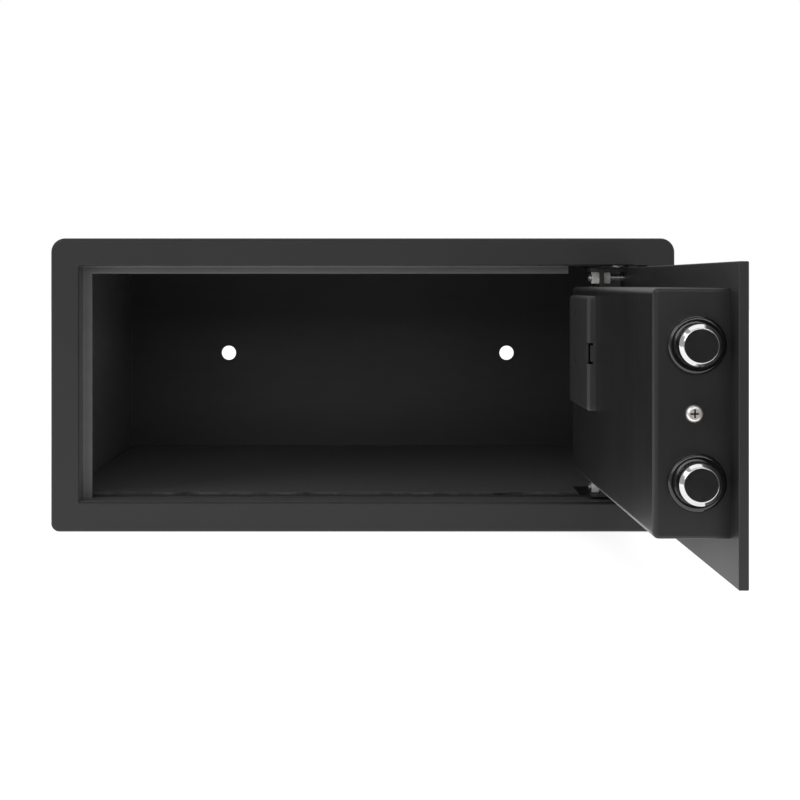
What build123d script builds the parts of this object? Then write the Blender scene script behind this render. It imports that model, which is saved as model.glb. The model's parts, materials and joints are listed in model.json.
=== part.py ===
from build123d import *
import math
import os

# Electronic laptop safe with its door standing open at a right angle.
# Row frame: origin at the middle of the underside, +X to the right of someone facing the front,
# +Y from the front into the safe, +Z up. All sizes are in millimetres.
# Door pieces are drawn with the door shut and are then swung open about the hinge.

# ------------------------------------------------------------------ body
BODY_W = 425.0
BODY_H = 200.0
BODY_D = 400.0
SHEET = 2.0
TOP_BEND_R = 9.5
BOTTOM_BEND_R = 5.5
FACE_T = 3.0
FACE_EDGE_R = 2.2
SIDE_BORDER = 19.1
TOP_BORDER = 18.5
BOTTOM_BORDER = 20.5
REVEAL_T = 2.0
REVEAL_D = 27.0
HINGE_REVEAL_D = 38.0
LIP_DEPTH = 17.5
LIP_T = 2.0
LIP_SIDE = 6.5
LIP_TOP = 5.6
LIP_BEND_R = 1.4
SOFT_EDGE = 0.9
SILL_R = 2.2
LIP_NOTCH = 51.4
ANCHOR_HOLE_D = 13.0
ANCHOR_SPACING = 253.0
ANCHOR_OFFSET_X = 4.5
ANCHOR_Z = 106.0
REAR_EDGE_R = 1.2

# ------------------------------------------------------------------ floor
TRAY_T = 1.2
TRAY_SETBACK = 38.0
TRAY_SIDE_GAP = 1.0
MAT_T = 1.5
MAT_INSET = 1.5
MAT_NOTCH_W = 56.0
MAT_NOTCH_D = 40.0

# ------------------------------------------------------------------ door and hinge
DOOR_T = 5.0
DOOR_GAP = 1.5
HINGE_GAP = 2.6
DOOR_RECESS = 11.5
DOOR_EDGE_R = 0.6
DOOR_REST_DEG = 90.0
PIVOT_BACK = 8.0
PIVOT_IN = 13.7
PIN_R = 2.5
PIN_CLEAR = 0.05
BUSH_WALL = 1.65
BUSH_FLANGE = 2.3
BUSH_FLANGE_T = 0.9
BUSH_TAIL = 2.5
ARM_T = 2.5
ARM_W = 14.0
ARM_L = 25.0
ARM_END_R = 6.5
TAB_CORNER_R = 3.5
ARM_GAP = 1.6
TAB_OUT = 14.2
TAB_T = 2.6
TAB_H = 15.5
PIN_CHAMFER = 0.8
STUD_CHAMFER = 0.6
NUT_CHAMFER = 0.5
STUD_R = 2.5
STUD_L = 24.0
STUD_DROP = 6.8
NUT_AF = 8.0
NUT_T = 5.0
NUT_CLEAR = 0.02

# ------------------------------------------------------------------ lock case
CASE_T = 1.5
CASE_BEND_R = 3.0
CASE_CORNER_R = 1.6
CASE_DEPTH = 38.0
CASE_FREE_SETBACK = 19.0
CASE_HINGE_SETBACK = 38.9
CASE_TOP_SETBACK = 13.0
CASE_BOTTOM_SETBACK = 22.0
# BOLT_EDGE and LOCK_Z are given for a case this high, and stretch with its height.
CASE_DRAWN_H = 123.0
FOOT_W = 22.0
FOOT_T = 2.0
FOOT_LEG = 12.0
FOOT_OVER = 1.5
SCREW_R = 2.0
SCREW_HEAD_R = 4.3
SCREW_HEAD_H = 2.6
SCREW_L = 8.0
SCREW_OUT = 17.8
SCREW_CLEAR = 0.1
RECESS_W = 0.9
RECESS_L = 4.6
RECESS_D = 1.3

# ------------------------------------------------------------------ bolts and drive
BOLT_R = 10.5
BOLT_CHAMFER = 2.0
BOLT_OUT = 16.6
BOLT_EDGE = 27.8
BOLT_REACH = 13.0
BOLT_BODY_L = 50.0
BOLT_CLEAR = 0.05
COLLAR_WALL = 3.9
COLLAR_T = 3.6
COLLAR_SLEEVE_WALL = 2.0
COLLAR_SLEEVE_L = 7.0
COLLAR_EDGE_R = 1.7
THROW = 17.0
GUIDE_T = 3.0
GUIDE_SETBACK = 24.0
GUIDE_LAND = 5.0
GUIDE_OVER = 2.5
YOKE_T = 4.0
RACK_W = 8.0
RACK_PAST = 11.0
RACK_BACK = 5.0
GEAR_MODULE = 1.0
RACK_END_LAND = 4.0
RACK_ROOT = 1.15
PINION_ROOT = 1.2
FLANK_STEPS = 5
PINION_TEETH = 16
PRESSURE_DEG = 20.0
BACKLASH = 0.16
PINION_W = 6.0
PINION_FROM_YOKE = 26.0
PINION_BORE_R = 2.0
GEARBOX_W = 36.0
GEARBOX_H = 34.0
GEARBOX_D = 9.5
GEARBOX_CORNER_R = 3.0
SHAFT_SEAT = 5.75
MOTOR_R = 9.5
MOTOR_L = 30.0
MOTOR_GAP = 0.5
MOTOR_RAISE = 4.0
MOTOR_EDGE_R = 1.5
MOTOR_BOSS_L = 2.0
MOTOR_BOSS_R = 3.0
SWITCH_W = 20.0
SWITCH_H = 9.0
SWITCH_D = 11.4
SWITCH_DROP = 2.2
LEVER_W = 3.0
LEVER_T = 0.5
BOARD_STAND = 7.0
BOARD_FROM_LOCK = 6.0
BOARD_FROM_BAY = 8.0
BOARD_EDGE_Z = 12.0
STANDOFF_R = 2.5
STANDOFF_IN = 5.0
RELAY = (20.0, 12.0, 9.0)
CHIP = (14.0, 14.0, 2.0)
SOCKET = (6.0, 20.0, 6.0)
SOCKET_IN = 6.0
CAPACITOR_R = 3.4
CAPACITOR_H = 10.0

# ------------------------------------------------------------------ battery bay
COVER_FREE_EDGE = 28.6
COVER_L = 88.8
COVER_TOP_GAP = 5.5
COVER_OVER_CELLS = 10.9
COVER_RISE = 5.5
COVER_WALL = 1.6
COVER_EDGE_R = 2.4
COVER_CORNER_R = 3.0
LATCH_FLOOR = 1.6
TONGUE_T = 3.0
TONGUE_GAP = 1.4
TONGUE_IN = 0.6
GRIP_SHIFT = 8.0
GRIP_LIFT = 9.0
GRIP_DEPTH = 0.6
LATCH_H = 12.8
LATCH_W = 4.5
GRIP_R = 17.0
GRIP_W = 1.6
BAY_LAP = 5.0
BAY_LATCH_ROOM = 3.0
BAY_LAP_Z = 3.5
BAY_WALL = 1.6
BAY_OVER_CELLS = 3.8
BAY_GAP = 0.4
CELL_R = 7.1
CELL_L = 50.0
CELL_NIB_R = 2.7
CELL_NIB_L = 1.2
CELL_PLAY = 0.3
CELL_SEAT = 0.2
CELL_EDGE_R = 0.5
CONTACT_W = 10.0
CONTACT_H = 11.0
CELL_GAP = 0.6
CELLS = 4
CONTACT_T = 0.6
RESET_R = 2.6
RESET_STAND = 2.0
RESET_TRAVEL = 1.0
RESET_CLEAR = 0.08
RESET_ROOF = 3.0
RESET_FLANGE = 0.6
RESET_FLANGE_T = 1.0
RESET_LIFT = 12.0
RESET_PLAY = 0.2
RESET_EDGE_R = 0.5

# ------------------------------------------------------------------ front panel
PANEL_W = 150.0
PANEL_H = 96.0
PANEL_T = 12.0
PANEL_WALL = 2.4
PANEL_CORNER_R = 9.0
PANEL_EDGE_R = 1.8
PANEL_SHIFT_X = -8.0
KEY_W = 15.0
KEY_H = 12.0
KEY_PITCH_X = 20.0
KEY_PITCH_Z = 18.5
KEY_STAND = 1.6
KEY_TRAVEL = 1.0
KEY_CLEAR = 0.3
KEY_FLANGE = 1.0
KEY_FLANGE_T = 1.0
KEY_CORNER_R = 2.2
KEY_GRID_X = 36.0
MAT_SHEET_T = 0.8
DOME_R = 4.0
WINDOW_W = 54.0
WINDOW_H = 20.0
WINDOW_T = 1.6
LEFT_COLUMN_X = -39.0
WINDOW_Z = 22.0
LOCK_Z = -19.0
BOARD_T = 1.6
PANEL_BOARD_UP = 2.0
PANEL_BOARD_IN_X = 14.0
PANEL_BOARD_IN_Z = 4.0
DISPLAY_W = 38.0
DISPLAY_H = 14.0
DISPLAY_GAP = 0.5
DISPLAY_EYE_W = 40.0
DISPLAY_EYE_H = 12.0
WINDOW_CORNER_R = 2.5
WINDOW_GAP = 0.1
LOCK_R = 8.0
LOCK_FLANGE_R = 10.5
LOCK_FLANGE_T = 1.4
LOCK_L = 36.0
PLUG_R = 5.5
PLUG_CLEAR = 0.05
KEYWAY_W = 1.2
KEYWAY_H = 6.4
CAM_L = 20.0
CAM_W = 9.0
CAM_T = 2.5
FLAP_R = 13.5
FLAP_T = 1.8
FLAP_RAISE = 16.5
FLAP_PIN_R = 2.0
FLAP_GAP = 0.3
LOOM_R = 2.6
LOOM_HOLE_R = 8.0
PANEL_SCREW_R = 1.5
PANEL_SCREW_HEAD_R = 2.8
PANEL_SCREW_HEAD_H = 1.8
PANEL_SCREW_BITE = 6.0
BOSS_IN = 8.0
BOSS_R = 3.5
BOSS_CLEAR = 0.7

KEY_NAMES = (
    ("key_1", "key_2", "key_3"),
    ("key_4", "key_5", "key_6"),
    ("key_7", "key_8", "key_9"),
    ("key_clear", "key_0", "key_enter"),
)

# ------------------------------------------------------------------ derived places
FRONT = -BODY_D / 2
REAR = BODY_D / 2
OPEN_X = BODY_W / 2 - SIDE_BORDER
OPEN_BOTTOM = BOTTOM_BORDER
OPEN_TOP = BODY_H - TOP_BORDER
DOOR_LEFT = -OPEN_X + DOOR_GAP
DOOR_RIGHT = OPEN_X - HINGE_GAP
DOOR_BOTTOM = OPEN_BOTTOM + DOOR_GAP
DOOR_TOP = OPEN_TOP - DOOR_GAP
DOOR_OUTER = FRONT + DOOR_RECESS
DOOR_INNER = DOOR_OUTER + DOOR_T
DOOR_MID_Z = (DOOR_BOTTOM + DOOR_TOP) / 2
PIVOT_X = DOOR_RIGHT - PIVOT_IN
BUSH_R = PIN_R + PIN_CLEAR + BUSH_WALL
BUSH_FLANGE_R = BUSH_R + BUSH_FLANGE
PIVOT_Y = DOOR_OUTER + PIVOT_BACK
CASE_LEFT = DOOR_LEFT + CASE_FREE_SETBACK
CASE_RIGHT = DOOR_RIGHT - CASE_HINGE_SETBACK
CASE_BOTTOM = DOOR_BOTTOM + CASE_BOTTOM_SETBACK
CASE_TOP = DOOR_TOP - CASE_TOP_SETBACK
CASE_MID_Z = (CASE_BOTTOM + CASE_TOP) / 2
CASE_BACK = DOOR_INNER + CASE_DEPTH
BOLT_Y = DOOR_INNER + BOLT_OUT
CASE_STRETCH = (CASE_TOP - CASE_BOTTOM) / CASE_DRAWN_H
BOLT_ZS = (CASE_TOP - BOLT_EDGE * CASE_STRETCH, CASE_BOTTOM + BOLT_EDGE * CASE_STRETCH)
BOLT_TIP = CASE_LEFT - BOLT_REACH
COLLAR_R = BOLT_R + COLLAR_WALL
COLLAR_SLEEVE_R = BOLT_R + COLLAR_SLEEVE_WALL
YOKE_LEFT = CASE_LEFT + BOLT_BODY_L
YOKE_RIGHT = YOKE_LEFT + YOKE_T
PINION_X = YOKE_RIGHT + PINION_FROM_YOKE
PINION_PITCH_R = GEAR_MODULE * PINION_TEETH / 2
PINION_Z = CASE_MID_Z
RACK_PITCH_Z = PINION_Z - PINION_PITCH_R
RACK_L = PINION_FROM_YOKE + THROW + RACK_PAST
CELL_PITCH = 2 * CELL_R + CELL_GAP
COVER_RIGHT = CASE_RIGHT - COVER_FREE_EDGE
COVER_LEFT = COVER_RIGHT - COVER_L
COVER_H = CELLS * CELL_PITCH + COVER_OVER_CELLS
COVER_LOW = CASE_TOP - COVER_TOP_GAP - COVER_H
COVER_MID_Z = COVER_LOW + COVER_H / 2
BAY_LEFT = COVER_LEFT + BAY_LAP + BAY_LATCH_ROOM
BAY_RIGHT = COVER_RIGHT - BAY_LAP
BAY_LOW = COVER_LOW + BAY_LAP_Z
BAY_HIGH = COVER_LOW + COVER_H - BAY_LAP_Z
PANEL_X = (DOOR_LEFT + DOOR_RIGHT) / 2 + PANEL_SHIFT_X
PANEL_FACE = DOOR_OUTER - PANEL_T
KEY_X0 = PANEL_X + KEY_GRID_X
LOCK_X = PANEL_X + LEFT_COLUMN_X
LOCK_MID_Z = DOOR_MID_Z + LOCK_Z * CASE_STRETCH
BOARD_AREA = (
    LOCK_X + LOCK_FLANGE_R + BOARD_FROM_LOCK,
    BAY_LEFT - BOARD_FROM_BAY,
    CASE_BOTTOM + BOARD_EDGE_Z,
    CASE_TOP - BOARD_EDGE_Z,
)


# ------------------------------------------------------------------ helpers
def slab(x0, x1, y0, y1, z0, z1):
    """A block between two opposite corners."""
    size = (x1 - x0, y1 - y0, z1 - z0)
    return Pos((x0 + x1) / 2, (y0 + y1) / 2, (z0 + z1) / 2) * Box(*size)


def rod_x(x0, x1, y, z, r):
    """A round bar along X."""
    return Pos((x0 + x1) / 2, y, z) * Rot(0, 90, 0) * Cylinder(r, x1 - x0)


def rod_y(x, y0, y1, z, r):
    """A round bar along Y."""
    return Pos(x, (y0 + y1) / 2, z) * Rot(90, 0, 0) * Cylinder(r, y1 - y0)


def rod_z(x, y, z0, z1, r):
    """A round bar along Z."""
    return Pos(x, y, (z0 + z1) / 2) * Cylinder(r, z1 - z0)


def prism_y(sketch, y0, y1):
    """A sketch drawn in X and Z, extruded from y0 to y1."""
    return extrude(Plane.XZ.offset(-y1) * sketch, amount=y1 - y0)


def rounded_plate(x, z, w, h, r, y0, y1):
    """A plate with round corners, standing in the XZ plane."""
    return prism_y(Pos(x, z) * RectangleRounded(w, h, r), y0, y1)


def edges_near(shape, axis, **place):
    """The straight edges along an axis that lie at the given coordinates."""
    found = shape.edges().filter_by(axis)
    for name, value in place.items():
        found = found.filter_by(lambda e: abs(getattr(e.center(), name) - value) < 0.01)
    return found


def swung(shape):
    """A door piece, turned from shut to the rest pose about the hinge."""
    return Pos(PIVOT_X, PIVOT_Y, 0) * Rot(0, 0, DOOR_REST_DEG) * Pos(-PIVOT_X, -PIVOT_Y, 0) * shape


def mirrored_z(shape):
    """A piece for the bottom hinge, mirrored about the door's middle height."""
    return mirror(shape, about=Plane.XY.offset(DOOR_MID_Z))


# ------------------------------------------------------------------ body pieces
def outline(inset):
    """The body's section across its depth: a rectangle with larger bends at the top."""
    w, h = BODY_W - 2 * inset, BODY_H - 2 * inset
    section = Pos(0, BODY_H / 2) * Rectangle(w, h)
    section = fillet(section.vertices().group_by(Axis.Y)[-1], TOP_BEND_R - inset)
    return fillet(section.vertices().group_by(Axis.Y)[0], BOTTOM_BEND_R - inset)


def body_wrap():
    """The bent sheet that makes the top, the sides and the base."""
    return prism_y(outline(0) - outline(SHEET), FRONT + FACE_T, REAR - SHEET)


def rear_panel():
    """The welded rear wall with its two anchor holes."""
    panel = prism_y(outline(0), REAR - SHEET, REAR)
    panel = fillet(panel.faces().sort_by(Axis.Y)[-1].edges(), REAR_EDGE_R)
    for side in (-1, 1):
        x = ANCHOR_OFFSET_X + side * ANCHOR_SPACING / 2
        panel -= rod_y(x, REAR - 2 * SHEET, REAR + SHEET, ANCHOR_Z, ANCHOR_HOLE_D / 2)
    return panel


def front_frame():
    """The face with its turned-in reveal, and the stop lip at the latch side and the top."""
    frame = prism_y(outline(0), FRONT, FRONT + FACE_T)
    frame = fillet(frame.faces().sort_by(Axis.Y)[0].edges(), FACE_EDGE_R)
    low, high = OPEN_BOTTOM - REVEAL_T, OPEN_TOP + REVEAL_T
    lip_front, lip_back = FRONT + LIP_DEPTH, FRONT + LIP_DEPTH + LIP_T
    y0 = FRONT + FACE_T
    frame += slab(-OPEN_X - REVEAL_T, OPEN_X + REVEAL_T, y0, FRONT + REVEAL_D, OPEN_TOP, high)
    frame += slab(-OPEN_X - REVEAL_T, OPEN_X + REVEAL_T, y0, FRONT + REVEAL_D, low, OPEN_BOTTOM)
    frame += slab(-OPEN_X - REVEAL_T, -OPEN_X, y0, lip_back, low, high)
    frame += slab(OPEN_X, OPEN_X + REVEAL_T, y0, FRONT + HINGE_REVEAL_D, low, high)
    frame -= slab(-OPEN_X, OPEN_X, FRONT - 1, y0 + 1, OPEN_BOTTOM, OPEN_TOP)
    lip = slab(-OPEN_X, -OPEN_X + LIP_SIDE, lip_front, lip_back, OPEN_BOTTOM, OPEN_TOP)
    lip += slab(-OPEN_X, OPEN_X - LIP_NOTCH, lip_front, lip_back, OPEN_TOP - LIP_TOP, OPEN_TOP)
    frame += lip
    frame = fillet(edges_near(frame, Axis.Z, X=-OPEN_X, Y=lip_front), LIP_BEND_R)
    frame = fillet(edges_near(frame, Axis.X, Z=OPEN_TOP, Y=lip_front), LIP_BEND_R)
    frame = fillet(edges_near(frame, Axis.Z, X=-OPEN_X + LIP_SIDE, Y=lip_front), SOFT_EDGE)
    frame = fillet(edges_near(frame, Axis.X, Z=OPEN_TOP - LIP_TOP, Y=lip_front), SOFT_EDGE)
    frame = fillet(edges_near(frame, Axis.X, Y=FRONT, Z=OPEN_BOTTOM), SILL_R)
    mouth = frame.faces().sort_by(Axis.Y)[0].inner_wires()[0].edges()
    frame = fillet(mouth.sort_by(Axis.Z)[1:], SOFT_EDGE)
    return frame - rod_z(PIVOT_X, PIVOT_Y, 0, BODY_H, BUSH_R)


def floor_tray():
    """The folded false floor, level with the sill."""
    x = BODY_W / 2 - SHEET - TRAY_SIDE_GAP
    y0, y1 = FRONT + TRAY_SETBACK, REAR - SHEET - TRAY_SIDE_GAP
    tray = slab(-x, x, y0, y1, SHEET, OPEN_BOTTOM)
    tray = fillet(edges_near(tray, Axis.X, Y=y0, Z=OPEN_BOTTOM), TRAY_T)
    tray -= slab(-x + TRAY_T, x - TRAY_T, y0 + TRAY_T, y1 - TRAY_T, 0, OPEN_BOTTOM - TRAY_T)
    # The lower corners of the body are bent, so the tray's feet are cut clear of the bend.
    clear = outline(SHEET + 0.3)
    return tray & prism_y(clear, FRONT, REAR)


def floor_mat():
    """The felt that lies on the false floor, cut away by the hinge."""
    x = BODY_W / 2 - SHEET - TRAY_SIDE_GAP - MAT_INSET
    y0 = FRONT + TRAY_SETBACK + TRAY_T
    y1 = REAR - SHEET - TRAY_SIDE_GAP - MAT_INSET
    mat = slab(-x, x, y0, y1, OPEN_BOTTOM, OPEN_BOTTOM + MAT_T)
    notch = slab(x - MAT_NOTCH_W, x + 1, y0 - 1, y0 + MAT_NOTCH_D, 0, BODY_H)
    return mat - notch


# ------------------------------------------------------------------ hinge pieces, drawn for the top
ARM_TOP = OPEN_TOP - ARM_GAP
ARM_LOW = ARM_TOP - ARM_T
STUD_Z = DOOR_TOP - STUD_DROP


def hinge_bush():
    """A flanged bush in the frame that the hinge pin turns in."""
    bush = rod_z(PIVOT_X, PIVOT_Y, OPEN_TOP, OPEN_TOP + REVEAL_T + BUSH_TAIL, BUSH_R)
    bush += rod_z(PIVOT_X, PIVOT_Y, OPEN_TOP - BUSH_FLANGE_T, OPEN_TOP, BUSH_FLANGE_R)
    return bush - rod_z(PIVOT_X, PIVOT_Y, 0, BODY_H, PIN_R + PIN_CLEAR)


def hinge_arm():
    """The plated arm on the door's back, with the tab that the stud clamps."""
    x0, x1 = PIVOT_X - ARM_W / 2, PIVOT_X + ARM_W / 2
    arm = slab(x0, x1, DOOR_INNER, DOOR_INNER + ARM_L, ARM_LOW, ARM_TOP)
    arm = fillet(arm.edges().filter_by(Axis.Z).group_by(Axis.Y)[-1], ARM_END_R)
    tab_y = DOOR_INNER + TAB_OUT
    tab = slab(x0, x1, tab_y, tab_y + TAB_T, ARM_TOP - TAB_H, ARM_LOW)
    tab = fillet(tab.edges().filter_by(Axis.Y).group_by(Axis.Z)[0], TAB_CORNER_R)
    arm += tab
    arm -= rod_z(PIVOT_X, PIVOT_Y, 0, BODY_H, PIN_R)
    return arm - rod_y(PIVOT_X, DOOR_INNER + 1, CASE_BACK, STUD_Z, STUD_R + NUT_CLEAR)


def hinge_pin():
    """The pin fixed in the arm, standing up into the bush."""
    pin_top = OPEN_TOP + REVEAL_T + BUSH_TAIL
    pin = rod_z(PIVOT_X, PIVOT_Y, ARM_LOW, pin_top, PIN_R)
    return chamfer(pin.faces().sort_by(Axis.Z)[-1].edges(), PIN_CHAMFER)


def hinge_stud():
    """The threaded stud welded square to the door."""
    stud = rod_y(PIVOT_X, DOOR_INNER, DOOR_INNER + STUD_L, STUD_Z, STUD_R)
    return chamfer(stud.faces().sort_by(Axis.Y)[-1].edges(), STUD_CHAMFER)


def hex_nut(y0):
    """A hexagon nut on the stud, its flats level at top and bottom."""
    circle_r = NUT_AF / 2 / math.cos(math.pi / 6)
    hexagon = Pos(PIVOT_X, STUD_Z) * RegularPolygon(circle_r, 6)
    nut = prism_y(hexagon, y0, y0 + NUT_T)
    dome = Pos(PIVOT_X, y0 + NUT_T / 2, STUD_Z) * Rot(90, 0, 0) * Cylinder(circle_r, NUT_T)
    dome = chamfer(dome.edges().filter_by(GeomType.CIRCLE), NUT_CHAMFER)
    nut &= dome
    return nut - rod_y(PIVOT_X, y0 - 1, y0 + NUT_T + 1, STUD_Z, STUD_R + NUT_CLEAR)


def hinge_nuts():
    """One nut on each side of the tab."""
    tab_y = DOOR_INNER + TAB_OUT
    return [hex_nut(tab_y - NUT_T), hex_nut(tab_y + TAB_T)]


# ------------------------------------------------------------------ door
def door_plate():
    """The thick door leaf with the holes that the panel, the lock and the wiring need."""
    plate = slab(DOOR_LEFT, DOOR_RIGHT, DOOR_OUTER, DOOR_INNER, DOOR_BOTTOM, DOOR_TOP)
    plate = fillet(plate.edges(), DOOR_EDGE_R)
    through = (DOOR_OUTER - 1, DOOR_INNER + 1)
    plate -= rod_y(LOCK_X, *through, LOCK_MID_Z, LOCK_R + PLUG_CLEAR)
    plate -= rod_y(PANEL_X, *through, DOOR_MID_Z, LOOM_HOLE_R)
    for x, z in panel_screw_places():
        plate -= rod_y(x, *through, z, PANEL_SCREW_R + SCREW_CLEAR)
    return plate


# ------------------------------------------------------------------ lock case
def case_blank():
    """The folded case's outer form: bent round its back, tight at the four corners."""
    blank = slab(CASE_LEFT, CASE_RIGHT, DOOR_INNER, CASE_BACK, CASE_BOTTOM, CASE_TOP)
    blank = fillet(blank.edges().filter_by(Axis.Y), CASE_CORNER_R)
    return fillet(blank.faces().sort_by(Axis.Y)[-1].edges(), CASE_BEND_R)


def lock_case():
    """The sheet cover over the lock, open towards the door."""
    case = case_blank()
    t = CASE_T
    hollow = slab(
        CASE_LEFT + t, CASE_RIGHT - t, DOOR_INNER - 5, CASE_BACK - t, CASE_BOTTOM + t, CASE_TOP - t
    )
    hollow = fillet(hollow.faces().sort_by(Axis.Y)[-1].edges(), CASE_BEND_R - CASE_T)
    case -= hollow
    for z in BOLT_ZS:
        case -= rod_x(CASE_LEFT - 1, CASE_LEFT + 2 * t, BOLT_Y, z, COLLAR_SLEEVE_R)
    for x in (CASE_LEFT, CASE_RIGHT):
        case -= rod_x(x - 2 * t, x + 2 * t, DOOR_INNER + SCREW_OUT, CASE_MID_Z, SCREW_R + SCREW_CLEAR)
    for x, z in panel_screw_places():
        head_top = DOOR_INNER + PANEL_SCREW_HEAD_H + SCREW_CLEAR
        case -= rod_y(x, DOOR_INNER - 1, head_top, z, PANEL_SCREW_HEAD_R + SCREW_CLEAR)
    return case - slab(BAY_LEFT, BAY_RIGHT, CASE_BACK - 2 * t, CASE_BACK + 1, BAY_LOW, BAY_HIGH)


def case_foot(end_x, inward):
    """An angle welded to the door that a case screw bites into."""
    x0 = end_x + inward * CASE_T
    x1, x2 = x0 + inward * FOOT_T, x0 + inward * FOOT_LEG
    low, high = CASE_MID_Z - FOOT_W / 2, CASE_MID_Z + FOOT_W / 2
    reach = DOOR_INNER + SCREW_OUT + SCREW_HEAD_R + FOOT_OVER
    foot = slab(min(x0, x1), max(x0, x1), DOOR_INNER, reach, low, high)
    foot += slab(min(x0, x2), max(x0, x2), DOOR_INNER, DOOR_INNER + FOOT_T, low, high)
    hole = rod_x(end_x - 20, end_x + 20, DOOR_INNER + SCREW_OUT, CASE_MID_Z, SCREW_R)
    return foot - hole


def case_screw(end_x, inward):
    """A pan head screw with a cross recess, driven in from the end of the case."""
    y, z = DOOR_INNER + SCREW_OUT, CASE_MID_Z
    head = Pos(end_x - inward * SCREW_HEAD_H / 2, y, z) * Rot(0, 90, 0)
    head = head * Cylinder(SCREW_HEAD_R, SCREW_HEAD_H)
    outer = head.faces().sort_by(Axis.X)[0 if inward > 0 else -1]
    head = fillet(outer.edges(), SCREW_HEAD_H * 0.6)
    tip = end_x + inward * SCREW_L
    screw = head + rod_x(min(end_x, tip), max(end_x, tip), y, z, SCREW_R)
    face_x = end_x - inward * SCREW_HEAD_H
    for w, h in ((RECESS_W, RECESS_L), (RECESS_L, RECESS_W)):
        screw -= Pos(face_x, y, z) * Box(2 * RECESS_D, w, h)
    return screw


# ------------------------------------------------------------------ bolts and drive
def locking_bolt(z):
    """A plated round bolt with a chamfered tip, reaching back to the yoke."""
    bolt = rod_x(BOLT_TIP, YOKE_LEFT, BOLT_Y, z, BOLT_R)
    return chamfer(bolt.faces().sort_by(Axis.X)[0].edges(), BOLT_CHAMFER)


def bolt_collar(z):
    """The moulded ring that a bolt slides through in the case's end."""
    ring = rod_x(CASE_LEFT - COLLAR_T, CASE_LEFT, BOLT_Y, z, COLLAR_R)
    ring = fillet(ring.faces().sort_by(Axis.X)[0].edges(), COLLAR_EDGE_R)
    ring += rod_x(CASE_LEFT, CASE_LEFT + COLLAR_SLEEVE_L, BOLT_Y, z, COLLAR_SLEEVE_R)
    return ring - rod_x(CASE_LEFT - 10, CASE_LEFT + 10, BOLT_Y, z, BOLT_R + BOLT_CLEAR)


def guide_plate():
    """The inner plate that keeps both bolts square to the case's end."""
    x0 = CASE_LEFT + GUIDE_SETBACK
    low = BOLT_ZS[1] - BOLT_R - GUIDE_LAND
    high = BOLT_ZS[0] + BOLT_R + GUIDE_LAND
    far = BOLT_Y + BOLT_R + GUIDE_OVER
    plate = slab(x0, x0 + GUIDE_T, DOOR_INNER, far, low, high)
    for z in BOLT_ZS:
        plate -= rod_x(x0 - 1, x0 + GUIDE_T + 1, BOLT_Y, z, BOLT_R + BOLT_CLEAR)
    return plate


def rack_teeth():
    """The rack's toothed edge, as straight-sided teeth standing up from the bar."""
    m = GEAR_MODULE
    pitch = math.pi * m
    lean = math.tan(math.radians(PRESSURE_DEG))
    half = pitch / 4 - BACKLASH / 2
    teeth = None
    count = int((RACK_L - RACK_END_LAND) / pitch)
    first = PINION_X - pitch * round((PINION_X - YOKE_RIGHT - RACK_END_LAND) / pitch)
    for i in range(count):
        x = first + i * pitch
        foot, tip = half + RACK_ROOT * m * lean, half - m * lean
        low, high = RACK_PITCH_Z - RACK_ROOT * m, RACK_PITCH_Z + m
        profile = Polygon((x - foot, low), (x + foot, low), (x + tip, high), (x - tip, high), align=None)
        tooth = prism_y(profile, BOLT_Y - RACK_W / 2, BOLT_Y + RACK_W / 2)
        teeth = tooth if teeth is None else teeth + tooth
    return teeth


def bolt_yoke():
    """The plate that joins the bolts, with the rack that the pinion drives."""
    low, high = BOLT_ZS[1] - BOLT_R, BOLT_ZS[0] + BOLT_R
    yoke = slab(YOKE_LEFT, YOKE_RIGHT, BOLT_Y - BOLT_R, BOLT_Y + BOLT_R, low, high)
    top = RACK_PITCH_Z - RACK_ROOT * GEAR_MODULE
    bar_y = (BOLT_Y - RACK_W / 2, BOLT_Y + RACK_W / 2)
    yoke += slab(YOKE_RIGHT, YOKE_RIGHT + RACK_L, *bar_y, top - RACK_BACK, top)
    return yoke + rack_teeth()


def pinion_profile():
    """An involute spur gear outline with a tooth gap straight down, over the rack's tooth."""
    m, n = GEAR_MODULE, PINION_TEETH
    alpha = math.radians(PRESSURE_DEG)
    pitch_r, base_r = PINION_PITCH_R, PINION_PITCH_R * math.cos(alpha)
    tip_r, root_r = pitch_r + m, pitch_r - PINION_ROOT * m
    half = math.pi / (2 * n) - BACKLASH / (2 * pitch_r) + math.tan(alpha) - alpha
    start_r = max(base_r, root_r)
    points = []
    for tooth in range(n):
        middle = -math.pi / 2 + (tooth + 0.5) * 2 * math.pi / n
        flank = []
        for step in range(FLANK_STEPS + 1):
            r = start_r + (tip_r - start_r) * step / FLANK_STEPS
            roll = math.sqrt(max((r / base_r) ** 2 - 1, 0))
            flank.append((r, half - (roll - math.atan(roll))))
        flank.insert(0, (root_r, flank[0][1]))
        points += [(r, middle - a) for r, a in flank]
        points += [(r, middle + a) for r, a in reversed(flank)]
    return Polygon(*[(r * math.cos(a), r * math.sin(a)) for r, a in points], align=None)


def drive_pinion():
    """The pinion in mesh with the rack, with its stub shaft into the gearbox."""
    gear = Pos(PINION_X, PINION_Z) * pinion_profile()
    pinion = prism_y(gear, BOLT_Y - PINION_W / 2, BOLT_Y + PINION_W / 2)
    shaft = (DOOR_INNER + SHAFT_SEAT, BOLT_Y + PINION_W / 2 + 1)
    return pinion + rod_y(PINION_X, *shaft, PINION_Z, PINION_BORE_R)


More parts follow.
